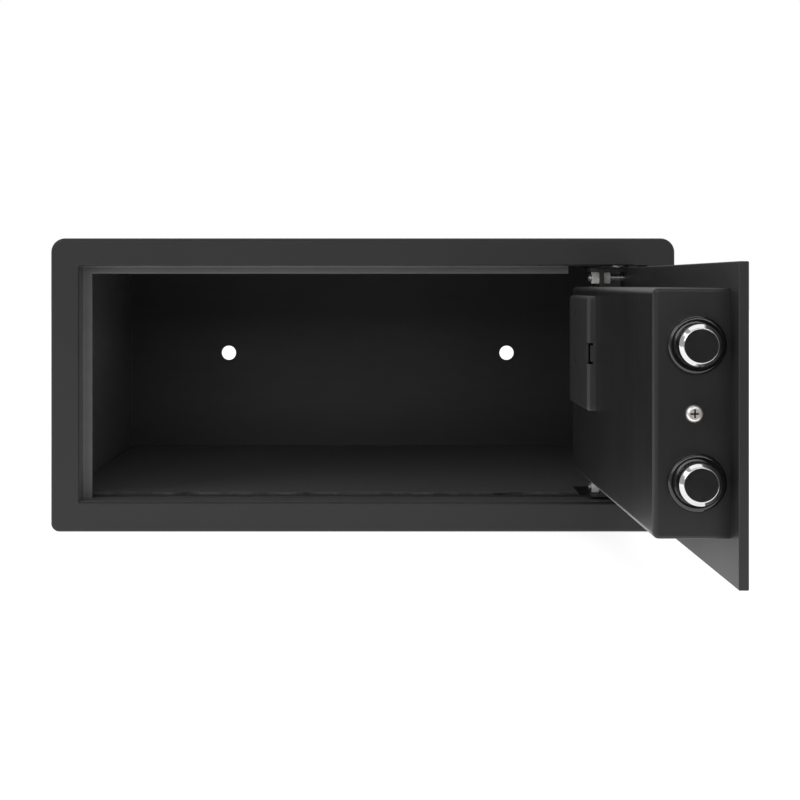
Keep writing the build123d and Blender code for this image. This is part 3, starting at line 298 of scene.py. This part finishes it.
def recessed_screw(name, node):
    """Nickel plated screw heads, with painted shade darkening the cross-shaped hollow."""
    low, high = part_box(node)
    head = Finish(name, Metallic=0.8)
    middle = (low + high) / 2
    x, y, z = head.separate(head.place(shift=(-middle.x, -low.y, -middle.z)))
    recess_shade = (x * x + z * z).within(RECESS_R ** 2) * (1.0 - y.within(RECESS_START))
    wear = head.grain(1.5 * MM, 2.0)
    plate = head.blend(wear, grey(0.8, 0.05), grey(0.98, 0.03))
    # Painted shade: the cross-shaped hollow is painted near black, where shade falls in it.
    head.feed("Base Color", head.blend(recess_shade, plate, grey(0.03)))
    head.feed("Roughness", 0.24 + wear * 0.12)
    head.relief(wear, 0.01 * MM)
    return head.material


def spark_plastic(name, tone, rough, texture=0.04):
    """Moulded plastic with a fine spark-eroded skin."""
    skin = Finish(name, Specular_IOR_Level=0.5)
    spark, flow = skin.grain(0.7 * MM, 2.0), skin.grain(45 * MM, 2.0)
    skin.feed("Base Color", skin.blend(flow, grey(tone * 0.9), grey(tone * 1.12)))
    skin.feed("Roughness", rough + (spark - 0.5) * 0.18 + (flow - 0.5) * 0.06)
    skin.relief(spark, texture * MM)
    return skin.material


def gloss_plastic(name, colour, rough=0.14):
    """Polished moulded plastic with slight waviness and dust-fine scuffs."""
    gloss = Finish(name, Coat_Roughness=0.06)
    wave, scuff = gloss.grain(9 * MM, 1.0), gloss.grain(0.6 * MM, 3.0)
    dark = tuple(c * 0.8 for c in colour[:3]) + (1.0,)
    gloss.feed("Base Color", gloss.blend(wave, dark, colour))
    gloss.feed("Roughness", rough + scuff.fade(0.5, 0.8) * 0.12)
    gloss.feed("Coat Weight", 0.5 + wave * 0.3)
    gloss.relief(wave, 0.03 * MM)
    return gloss.material


def turned_brass(name):
    """Brass bar stock with turning marks."""
    brass = Finish(name, Metallic=1.0)
    line, haze = brass.grain(0.3 * MM, 2.0, (0.2, 0.2, 4)), brass.grain(5 * MM, 2.0)
    brass.feed("Base Color", brass.blend(haze, (0.55, 0.38, 0.13, 1), (0.74, 0.56, 0.26, 1)))
    brass.feed("Roughness", 0.22 + line * 0.2)
    brass.relief(line, 0.01 * MM)
    return brass.material


def solder_mask(name):
    """Green board with faint copper tracks under the lacquer."""
    board = Finish(name, Coat_Weight=0.4)
    x, y, z = board.separate(board.place())
    tracks = ((z * (2 * math.pi / (2.5 * MM))).sine()).fade(0.75, 0.9)
    cut = board.grain(9 * MM, 0.0).fade(0.48, 0.52)
    colour = board.blend(tracks * cut, (0.005, 0.07, 0.03, 1), (0.02, 0.16, 0.07, 1))
    board.feed("Base Color", colour)
    board.feed("Roughness", 0.3 + board.grain(2 * MM) * 0.15)
    return board.material


def soft_rubber(name, tone):
    """Matte silicone or cable sleeve."""
    rubber = Finish(name, Specular_IOR_Level=0.35)
    dust, cloud = rubber.grain(0.8 * MM, 3.0), rubber.grain(14 * MM)
    rubber.feed("Base Color", rubber.blend(cloud, grey(tone * 0.85), grey(tone * 1.15)))
    rubber.feed("Roughness", 0.6 + dust * 0.3)
    rubber.relief(dust, 0.03 * MM)
    return rubber.material


def smoked_window(name):
    """Smoked acrylic, almost black, with faint hairline scratches."""
    smoke = Finish(name, Coat_Weight=1.0, Coat_Roughness=0.03)
    scratch = smoke.grain(0.5 * MM, 3.0, (1, 0.04, 1)).fade(0.66, 0.8)
    smoke.feed("Base Color", smoke.blend(smoke.grain(20 * MM), grey(0.004), grey(0.008, -0.1)))
    smoke.feed("Roughness", 0.05 + scratch * 0.2)
    return smoke.material


def cell_sleeve(name):
    """Shrink sleeve on a battery cell: dark, with one pale band by the positive end."""
    sleeve = Finish(name, Metallic=0.2)
    x, y, z = sleeve.separate(sleeve.place())
    low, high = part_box("battery_cells")
    band = y.fade(high.y - 14 * MM, high.y - 13 * MM)
    sleeve.feed("Base Color", sleeve.blend(band, (0.02, 0.03, 0.05, 1), (0.5, 0.4, 0.2, 1)))
    sleeve.feed("Roughness", 0.25 + sleeve.grain(3 * MM) * 0.2)
    return sleeve.material


def key_ink(name):
    """White pad-printed ink, thinner in places."""
    ink = Finish(name)
    thin_ink_and_painted_light = ink.grain(0.8 * MM, 3.0)
    ink.feed("Base Color", ink.blend(thin_ink_and_painted_light.fade(0.3, 0.6), grey(0.55), grey(0.78)))
    ink.feed("Roughness", 0.45 + thin_ink_and_painted_light * 0.2)
    return ink.material


def indicator_lens(name, colour):
    """A small tinted lens, its tint mottled between dim and full."""
    lens = Finish(name, Coat_Weight=1.0)
    bead = lens.grain(0.6 * MM, 1.0)
    dim = tuple(c * 0.45 for c in colour[:3]) + (1.0,)
    lens.feed("Base Color", lens.blend(bead, dim, colour))
    lens.feed("Roughness", 0.12 + bead * 0.1)
    return lens.material


SLOT_FINISHES = {
    "body_paint": powder_coat("body_powder_coat", 0.011, 0.46),
    "door_paint": powder_coat("door_powder_coat", 0.014, 0.44),
    # The case's upright streaks are partly a painted sheen.
    "case_paint": powder_coat("case_powder_coat", 0.012, 0.36, gloss_and_painted_sheen=0.35),
    "felt": needle_felt("floor_felt"),
    "zinc": plated_steel("zinc_plate", 0.72, 0.02, 0.22),
    "screw_steel": plated_steel("nickel_plate", 0.95, 0.03, 0.2),
    "plug_brass": turned_brass("turned_brass"),
    "bolt_chrome": plated_steel("bright_chrome", 0.82, -0.01, 0.08),
    "collar_plastic": gloss_plastic("collar_gloss_black", grey(0.006)),
    "cover_plastic": spark_plastic("cover_moulding", 0.024, 0.42),
    "panel_plastic": spark_plastic("panel_moulding", 0.014, 0.46),
    "key_plastic": spark_plastic("key_moulding", 0.05, 0.5),
    "window_tint": smoked_window("smoked_window"),
    "display_plastic": spark_plastic("module_moulding", 0.03, 0.5),
    "board_green": solder_mask("solder_mask"),
    "silicone": soft_rubber("key_silicone", 0.3),
    "cell_jacket": cell_sleeve("cell_sleeve"),
    "motor_steel": plated_steel("motor_can", 0.55, 0.01, 0.3),
    "gear_plastic": spark_plastic("acetal_moulding", 0.7, 0.45),
    "reset_plastic": gloss_plastic("reset_gloss_red", (0.45, 0.02, 0.015, 1), 0.25),
    "wire": soft_rubber("wire_sleeve", 0.03),
}

ARM_PAINT = powder_coat("arm_powder_coat", 0.008, 0.5)
NODE_FINISHES = {
    # Painted light: the inner tones paint the body's inside, the rear panel's inside and the
    # opening's reveal and sill paler, for light reaching in.
    "body_wrap": powder_coat("wrap_powder_coat", 0.011, 0.46, inner=0.24),
    "rear_panel": powder_coat("rear_powder_coat", 0.011, 0.46, inner=0.036),
    "front_frame": powder_coat("frame_powder_coat", 0.010, 0.47, inner=0.10, where=inside_mouth),
    "lock_flap": plated_steel("satin_nickel", 0.5, 0.03, 0.32),
    "hinge_nuts": plated_steel("nut_plate", 0.95, 0.04, 0.36, metal=0.25),
    "case_screws": recessed_screw("case_screw_plate", "case_screws"),
    "hinge_arm_top": ARM_PAINT,
    "hinge_arm_bottom": ARM_PAINT,
}


# ---------------------------------------------------------------- mesh tools
def piece(name, bm, body, material, smooth_deg=35):
    """Turns a bmesh into a finished piece that rides on a body."""
    bmesh.ops.remove_doubles(bm, verts=bm.verts, dist=1e-6)
    bmesh.ops.recalc_face_normals(bm, faces=bm.faces)
    mesh = bpy.data.meshes.new(name)
    bm.to_mesh(mesh)
    bm.free()
    mesh.shade_smooth()
    mesh.set_sharp_from_angle(angle=math.radians(smooth_deg))
    mesh.materials.append(material)
    made = bpy.data.objects.new(name, mesh)
    bpy.context.scene.collection.objects.link(made)
    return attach(made, body)


def lathe(profile, centre, steps=96, closed=False):
    """Spins (radius, distance) points about an axis along Y through centre."""
    bm = bmesh.new()
    points = [bm.verts.new(centre + Vector((r, d, 0))) for r, d in profile]
    edges = [bm.edges.new(pair) for pair in zip(points, points[1:])]
    if closed:
        edges.append(bm.edges.new((points[-1], points[0])))
    bmesh.ops.spin(
        bm, geom=points + edges, cent=centre, axis=(0, 1, 0), dvec=(0, 0, 0),
        angle=2 * math.pi, steps=steps, use_merge=True, use_duplicate=False,
    )
    bmesh.ops.remove_doubles(bm, verts=bm.verts, dist=1e-6)
    return bm


def round_rims(bm, centre, rims, width, segments):
    """Rounds the circular edges at the given (radius, distance) places."""
    def on_rim(vert):
        at = vert.co - centre
        r = math.hypot(at.x, at.z)
        return any(abs(r - rim_r) < 1e-5 and abs(at.y - d) < 1e-5 for rim_r, d in rims)
    edges = [e for e in bm.edges if on_rim(e.verts[0]) and on_rim(e.verts[1])]
    bmesh.ops.bevel(
        bm, geom=edges, offset=width, affect="EDGES", segments=segments, profile=0.5,
        material=-1, clamp_overlap=True,
    )
    return bm


# ---------------------------------------------------------------- bolts, collars and studs
def turned_bolt(node):
    """A plated bolt with a flat end, a chamfer and softened rims, held crisp by loops."""
    low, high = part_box(node)
    r = (high.z - low.z) / 2
    centre = Vector(((low.x + high.x) / 2, low.y, (low.z + high.z) / 2))
    flat_r = r - BOLT_CHAMFER
    hold = 2 * BOLT_EDGE_ROUND
    length = high.y - low.y
    bm = lathe(
        [
            (0, 0), (flat_r - hold, 0), (flat_r, 0),
            (flat_r + hold, hold), (r - hold, BOLT_CHAMFER - hold),
            (r, BOLT_CHAMFER), (r, BOLT_CHAMFER + hold), (r, length), (0, length),
        ],
        centre,
    )
    round_rims(bm, centre, [(flat_r, 0), (r, BOLT_CHAMFER)], BOLT_EDGE_ROUND, 3)
    chrome = turned_chrome(f"{node}_chrome", centre)
    made = piece(f"{node}_turned", bm, "bolts", chrome)
    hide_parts(node)
    return centre, r


def moulded_collar(name, centre, bolt_r):
    """The ring that a bolt slides through, with a rounded face and its sleeve in the case."""
    low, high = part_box("bolt_collars")
    outer_r = (high.x - low.x) / 2
    inner_r = bolt_r + 0.05 * MM
    sleeve_r, depth = outer_r - 1.9 * MM, high.y - low.y
    at = Vector((centre.x, low.y, centre.z))
    bm = lathe(
        [
            (inner_r, depth), (inner_r, 0), (outer_r, 0), (outer_r, COLLAR_T),
            (sleeve_r, COLLAR_T), (sleeve_r, depth),
        ],
        at, closed=True,
    )
    round_rims(bm, at, [(outer_r, 0)], COLLAR_ROUND, 6)
    round_rims(bm, at, [(inner_r, 0)], 0.35 * MM, 3)
    made = piece(name, bm, "door", SLOT_FINISHES["collar_plastic"])
    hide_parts("bolt_collars")


def threaded_stud(name, z):
    """A hinge stud with a cut thread and flat ends."""
    low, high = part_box("hinge_studs")
    x0, x1 = low.x, high.x
    y = (low.y + high.y) / 2
    r = (high.y - low.y) / 2
    core_r = r - THREAD_DEPTH
    turns = int((x1 - x0 - 2 * THREAD_PITCH) / THREAD_PITCH)
    profile = [(0, 0), (core_r, 0)]
    for turn in range(turns):
        start = (turn + 0.6) * THREAD_PITCH
        profile += [(core_r, start), (r, start + 0.38 * THREAD_PITCH)]
        profile += [(r, start + 0.5 * THREAD_PITCH), (core_r, start + 0.88 * THREAD_PITCH)]
    profile += [(core_r, x1 - x0), (0, x1 - x0)]
    bm = lathe(profile, Vector((0, 0, 0)), steps=40)
    turn_to_x = Matrix.Translation((x0, y, z)) @ Matrix.Rotation(-math.pi / 2, 4, "Z")
    bmesh.ops.transform(bm, matrix=turn_to_x, verts=bm.verts)
    made = piece(name, bm, "door", SLOT_FINISHES["zinc"], 25)
    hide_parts("hinge_studs")


# ---------------------------------------------------------------- felt
def felt_floor():
    """The felt cut to the false floor, lying almost flat, with a notch by the hinge."""
    low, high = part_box("floor_mat")
    width, length, thick = high.x - low.x, high.y - low.y, high.z - low.z
    bm = bmesh.new()
    cols, rows = 104, 89
    bmesh.ops.create_grid(bm, x_segments=cols, y_segments=rows, size=0.5)
    bmesh.ops.scale(bm, vec=(width, length, 1), verts=bm.verts)
    bmesh.ops.translate(
        bm, vec=((low.x + high.x) / 2, (low.y + high.y) / 2, low.z), verts=bm.verts
    )
    notch_x, notch_y = high.x - MAT_NOTCH[0], low.y + MAT_NOTCH[1]
    for place, normal in (((notch_x, 0, 0), (1, 0, 0)), ((0, notch_y, 0), (0, 1, 0))):
        geom = bm.verts[:] + bm.edges[:] + bm.faces[:]
        bmesh.ops.bisect_plane(bm, geom=geom, plane_co=place, plane_no=normal, dist=1e-6)
    cut = [
        f for f in bm.faces
        if f.calc_center_median().x > notch_x and f.calc_center_median().y < notch_y
    ]
    bmesh.ops.delete(bm, geom=cut, context="FACES")
    shell = bmesh.ops.extrude_face_region(bm, geom=bm.faces[:])["geom"]
    top = [v for v in shell if isinstance(v, bmesh.types.BMVert)]
    long_wave, short_wave = MAT_WAVE_SCALES
    for vert in top:
        wave = noise.noise(vert.co * long_wave) + 0.5 * noise.noise(vert.co * short_wave)
        curl = max(0.0, 1.0 - (vert.co.y - low.y) / MAT_FRAY_DEPTH)
        curl *= max(0.0, noise.noise((vert.co.x * MAT_CURL_SCALE, 0, 5)) + 0.2)
        vert.co.z += thick + MAT_WAVE * (wave * 0.5 - 0.4) + MAT_CURL * curl
    long_tear, short_tear = MAT_FRAY_SCALES
    for vert in bm.verts:
        near = max(0.0, 1.0 - (vert.co.y - low.y) / MAT_FRAY_DEPTH)
        ragged = 0.5 + noise.noise((vert.co.x * long_tear, 0, 3))
        ragged += 0.5 * noise.noise((vert.co.x * short_tear, 0, 7))
        vert.co.y += MAT_FRAY * near * min(max(ragged, 0.0), 1.0)
    made = piece("felt_floor", bm, "safe_body", SLOT_FINISHES["felt"], 60)
    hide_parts("floor_mat")


# ---------------------------------------------------------------- keypad details
OUTWARD = Matrix(((0, 0, 1, 0), (1, 0, 0, 0), (0, 1, 0, 0), (0, 0, 0, 1)))


def key_mark(node, mark, ink):
    """The character printed on a key, reading upright from outside the door."""
    low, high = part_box(node)
    letter = bpy.data.curves.new(f"{node}_letter", "FONT")
    letter.body, letter.size, letter.extrude = mark, MARK_HEIGHT, MARK_PROUD
    letter.align_x, letter.align_y = "CENTER", "CENTER"
    drawn = bpy.data.objects.new(f"{node}_drawn", letter)
    bpy.context.scene.collection.objects.link(drawn)
    bpy.context.view_layer.update()
    mesh = bpy.data.meshes.new_from_object(drawn)
    bpy.data.objects.remove(drawn)
    bm = bmesh.new()
    bm.from_mesh(mesh)
    bpy.data.meshes.remove(mesh)
    xs, ys = [v.co.x for v in bm.verts], [v.co.y for v in bm.verts]
    middle = Vector(((min(xs) + max(xs)) / 2, (min(ys) + max(ys)) / 2, 0))
    bmesh.ops.translate(bm, vec=-middle, verts=bm.verts)
    place = Matrix.Translation((high.x, (low.y + high.y) / 2, (low.z + high.z) / 2)) @ OUTWARD
    bmesh.ops.transform(bm, matrix=place, verts=bm.verts)
    piece(f"{node}_mark", bm, node, ink, 30)


def indicator(name, y, z, colour):
    """A domed indicator lens let into the panel."""
    face_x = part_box("keypad_housing")[1].x
    rise = [(LED_R * math.sin(a), LED_PROUD * math.cos(a)) for a in
            [i * math.pi / 16 for i in range(9)]]
    bm = lathe([*rise, (LED_R, -1.2 * MM), (0, -1.2 * MM)], Vector((0, 0, 0)), steps=32)
    place = Matrix.Translation((face_x, y, z)) @ Matrix.Rotation(-math.pi / 2, 4, "Z")
    bmesh.ops.transform(bm, matrix=place, verts=bm.verts)
    piece(name, bm, "door", indicator_lens(f"{name}_lens", colour), 40)


# ---------------------------------------------------------------- making the object
def finish_nodes():
    """Gives each CAD node its own finish, or else that of its slot."""
    for entry in frame["record"]["subparts"]:
        node = entry["node"]
        mesh = frame["nodes"][node].data
        mesh.materials.clear()
        finish = NODE_FINISHES.get(node, SLOT_FINISHES[entry["material_slot"]])
        mesh.materials.append(finish)


def make_details():
    for node in BOLT_NODES:
        centre, r = turned_bolt(node)
        moulded_collar(f"{node}_collar", centre, r)
    low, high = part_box("hinge_studs")
    stud_r = (high.y - low.y) / 2
    threaded_stud("stud_top_threaded", high.z - stud_r)
    threaded_stud("stud_bottom_threaded", low.z + stud_r)
    felt_floor()
    ink = key_ink("key_ink")
    for node, mark in KEY_MARKS.items():
        key_mark(node, mark, ink)
    window_low, window_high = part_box("display_window")
    led_z = window_low.z - 5 * MM
    indicator("indicator_green", window_high.y - 8 * MM, led_z, (0.02, 0.35, 0.06, 1))
    indicator("indicator_red", window_high.y - 16 * MM, led_z, (0.5, 0.02, 0.02, 1))


# ---------------------------------------------------------------- studio
def floor_finish():
    floor = Finish("studio_floor", Roughness=0.9, Emission_Strength=0.75)
    floor.feed("Base Color", floor.blend(floor.grain(400 * MM), grey(0.78), grey(0.8)))
    floor.shader.inputs["Emission Color"].default_value = grey(1.0)
    return floor.material


def studio_floor():
    bm = bmesh.new()
    bmesh.ops.create_grid(bm, x_segments=8, y_segments=8, size=FLOOR_HALF)
    bmesh.ops.translate(bm, vec=(0, FLOOR_SHIFT_Y, 0), verts=bm.verts)
    mesh = bpy.data.meshes.new("studio_floor")
    bm.to_mesh(mesh)
    bm.free()
    mesh.materials.append(floor_finish())
    made = bpy.data.objects.new("studio_floor", mesh)
    bpy.context.scene.collection.objects.link(made)


def soft_box(name, place, aim, size, power):
    lamp = bpy.data.lights.new(name, "AREA")
    lamp.shape, lamp.size, lamp.size_y, lamp.energy = "RECTANGLE", *size, power
    made = bpy.data.objects.new(name, lamp)
    made.location = place
    made.rotation_euler = (Vector(aim) - Vector(place)).to_track_quat("-Z", "Y").to_euler()
    bpy.context.scene.collection.objects.link(made)


def studio_world():
    """A pale room that is dark on the viewer's side, and plain white behind the object."""
    world = bpy.data.worlds.new("studio")
    world.use_nodes = True
    room = Shop(world.node_tree)
    world.node_tree.nodes.clear()
    direction = room.node("ShaderNodeTexCoord", {}, {}, "Generated")
    toward = room.node(
        "ShaderNodeVectorMath", {"operation": "DOT_PRODUCT"}, {0: direction, 1: DARK_SIDE}, "Value"
    )
    lit = room.blend(toward.fade(0.82, 0.94), grey(ROOM_LEVEL), grey(0.02))
    seen = room.node("ShaderNodeLightPath", {}, {}, "Is Camera Ray")
    colour = room.blend(seen, lit, grey(1.0))
    shade = room.node("ShaderNodeBackground", {}, {"Color": colour, "Strength": 1.0})
    output = world.node_tree.nodes.new("ShaderNodeOutputWorld")
    world.node_tree.links.new(shade.socket, output.inputs["Surface"])
    bpy.context.scene.world = world


def studio_camera():
    camera = bpy.data.cameras.new("camera")
    camera.sensor_width, camera.lens = CAMERA_SENSOR, CAMERA_LENS
    camera.shift_x, camera.shift_y = CAMERA_SHIFT
    made = bpy.data.objects.new("camera", camera)
    made.location = CAMERA_AT
    made.rotation_euler = (math.pi / 2, 0, 0)
    bpy.context.scene.collection.objects.link(made)
    bpy.context.scene.camera = made


finish_nodes()
make_details()
studio_floor()
studio_world()
studio_camera()
for lamp in LAMPS:
    soft_box(*lamp)
bpy.context.scene.view_settings.view_transform = "Standard"
